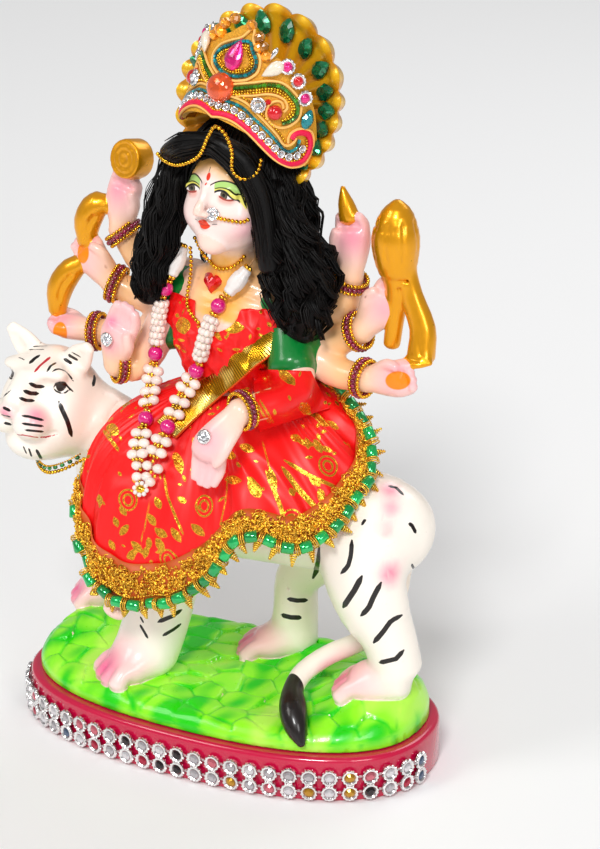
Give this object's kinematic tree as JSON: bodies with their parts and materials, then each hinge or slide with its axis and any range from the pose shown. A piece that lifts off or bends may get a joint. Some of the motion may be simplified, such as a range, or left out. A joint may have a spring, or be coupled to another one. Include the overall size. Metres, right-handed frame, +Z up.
{
  "type": "durga figure",
  "caption": "Dressed votive figure of an eight-armed goddess on a white tiger, on a stone-banded oblong plinth.",
  "frame": {"origin": "centre of the plinth's underside", "axes": "+Z up, the goddess faces -Y, the tiger's head is towards -X"},
  "size_m": [0.1806, 0.0995, 0.2915],
  "materials": {
    "plinth_paint": "gloss crimson enamel on cast plaster",
    "cast_paint": "gloss enamel on cast plaster: pink, cream, yellow, black and lime green",
    "band_stones": "mirror-backed flat stones in bright cups on a red web",
    "crown_gold": "bright gold paint with green stones",
    "tiara_work": "gold cloth on card with cord, glitter tubes, beads and stones",
    "hair": "glossy black synthetic hair",
    "garland_beads": "pearly white, pink and magenta beads",
    "sash_ribbon": "ribbed metallic gold ribbon with orange edges",
    "red_cloth": "shiny scarlet cloth with gold foil print",
    "lace": "gold tinsel with green glass tubes and gold tassels",
    "gold_beads": "bright gold-coloured bead chain",
    "bangle_beads": "maroon beads between two rows of gold beads",
    "red_stone": "faceted red glass",
    "clear_stone": "faceted clear glass with a mirror back"
  },
  "bodies": {
    "root": {"plinth": "plinth_paint", "stone_band": "band_stones", "painted_cast": "cast_paint", "crown": "crown_gold", "tiara": "tiara_work", "wig": "hair", "garland": "garland_beads", "sash": "sash_ribbon", "bodice": "red_cloth", "skirt": "red_cloth", "hem_lace": "lace", "forehead_chain": "gold_beads", "cheek_chain": "gold_beads", "necklace": "gold_beads", "long_chain": "gold_beads", "tiger_collar": "gold_beads", "pendant": "red_stone", "nose_stud": "clear_stone", "palm_stone_right": "clear_stone", "palm_stone_left": "clear_stone", "bangle_right_1": "bangle_beads", "bangle_right_2": "bangle_beads", "bangle_right_3": "bangle_beads", "bangle_right_4": "bangle_beads", "bangle_left_1": "bangle_beads", "bangle_left_2": "bangle_beads", "bangle_left_3": "bangle_beads", "bangle_left_4": "bangle_beads"}
  },
  "joints": []
}
